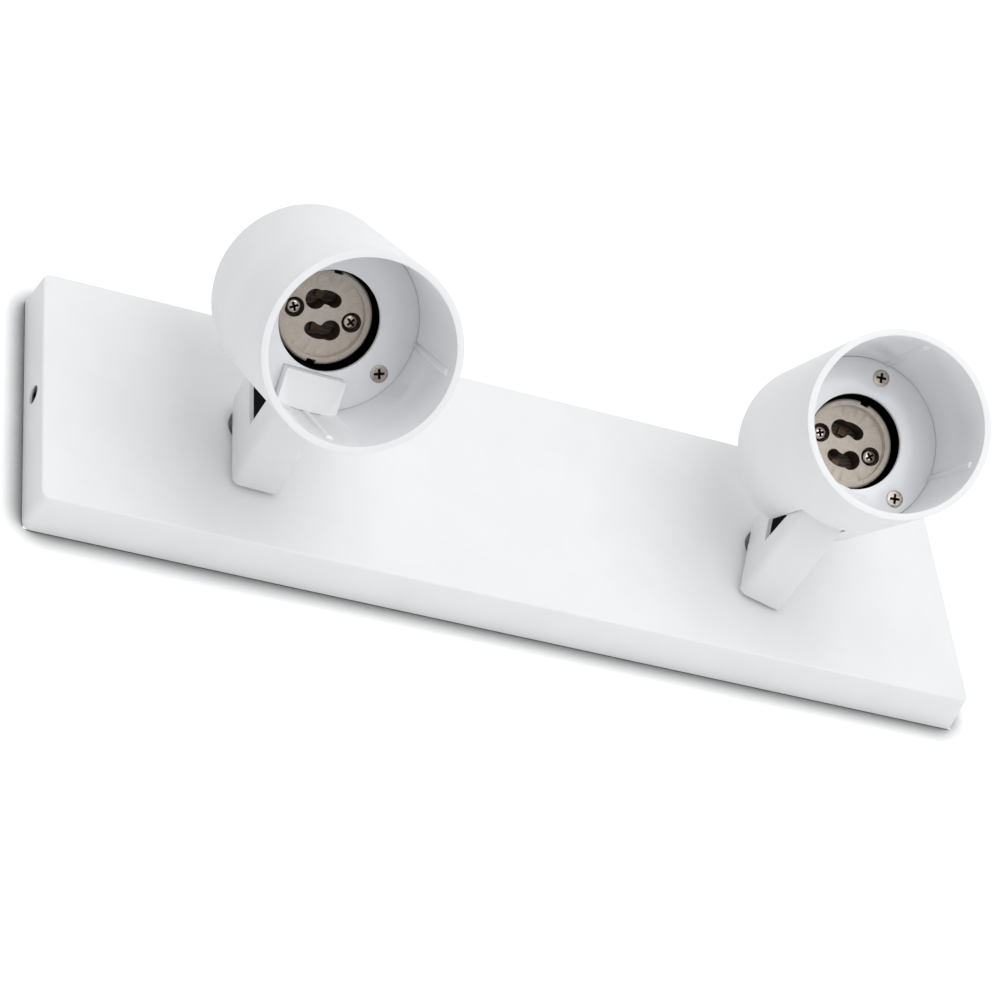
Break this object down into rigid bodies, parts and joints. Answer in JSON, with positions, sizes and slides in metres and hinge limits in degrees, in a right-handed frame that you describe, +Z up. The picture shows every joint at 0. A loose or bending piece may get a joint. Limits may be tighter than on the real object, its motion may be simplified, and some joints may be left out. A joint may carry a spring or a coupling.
{
  "type": "twin spotlight wall light",
  "caption": "Wall light with a shallow rectangular plate and tubular lamp cans on folded arms that swivel on the plate and let each can tilt.",
  "frame": {"origin": "centre of the plate's back, on the wall's surface and midway between the two wall screws", "axes": "+X along the plate, +Z up the wall, -Y out of the wall into the room; lamps at the pictured swivel and tilt"},
  "size_m": [0.3, 0.1172, 0.1036],
  "materials": {
    "white_paint": "fine matt powder coat",
    "zinc_steel": "zinc-plated, satin",
    "grey_washer": "dull zinc",
    "dark_rubber": "matt",
    "cream_plastic": "satin",
    "grey_plastic": "satin",
    "brass_parts": "plain",
    "black_screws": "black oxide",
    "black_liner": "matt moulded",
    "bright_screws": "zinc-plated, bright",
    "ceramic_white": "unglazed ceramic, satin",
    "blue_lead": "smooth insulation",
    "brown_lead": "smooth insulation"
  },
  "bodies": {
    "base": {"cover_plate": "white_paint", "wall_bracket": "zinc_steel", "cable_grommet": "dark_rubber", "terminal_block": "cream_plastic", "terminal_levers": "grey_plastic", "earth_screw": "brass_parts", "cover_screws": "black_screws", "swivel_nipples": "zinc_steel", "nipple_nuts": "zinc_steel", "spacer_washers": "grey_washer"},
    "left_arm_body": {"left_arm": "white_paint", "left_arm_liner": "black_liner"},
    "left_head_body": {"left_can": "white_paint", "left_divider": "white_paint", "left_divider_screws": "bright_screws", "left_tilt_pin": "bright_screws", "left_socket": "ceramic_white", "left_socket_contacts": "brass_parts", "left_socket_screws": "bright_screws", "left_lead_neutral": "blue_lead", "left_lead_live": "brown_lead"},
    "right_arm_body": {"right_arm": "white_paint", "right_arm_liner": "black_liner"},
    "right_head_body": {"right_can": "white_paint", "right_divider": "white_paint", "right_divider_screws": "bright_screws", "right_tilt_pin": "bright_screws", "right_socket": "ceramic_white", "right_socket_contacts": "brass_parts", "right_socket_screws": "bright_screws", "right_lead_neutral": "blue_lead", "right_lead_live": "brown_lead"}
  },
  "joints": [
    {"name": "left_swivel", "type": "hinge", "parent": "base", "child": "left_arm_body", "pos_m": [-0.085, -0.013, 0], "axis": [0, 1, 0], "range_deg": [-172.3, 167.7]},
    {"name": "left_tilt", "type": "hinge", "parent": "left_arm_body", "child": "left_head_body", "pos_m": [-0.08553, -0.04685, -0.01329], "axis": [0.9992, 0, -0.0401], "range_deg": [-56.1, 23.9]},
    {"name": "right_swivel", "type": "hinge", "parent": "base", "child": "right_arm_body", "pos_m": [0.085, -0.013, 0], "axis": [0, 1, 0], "range_deg": [-187.5, 152.5]},
    {"name": "right_tilt", "type": "hinge", "parent": "right_arm_body", "child": "right_head_body", "pos_m": [0.081, -0.04685, -0.01268], "axis": [0.9537, 0, -0.3007], "range_deg": [-37.6, 42.4]}
  ]
}
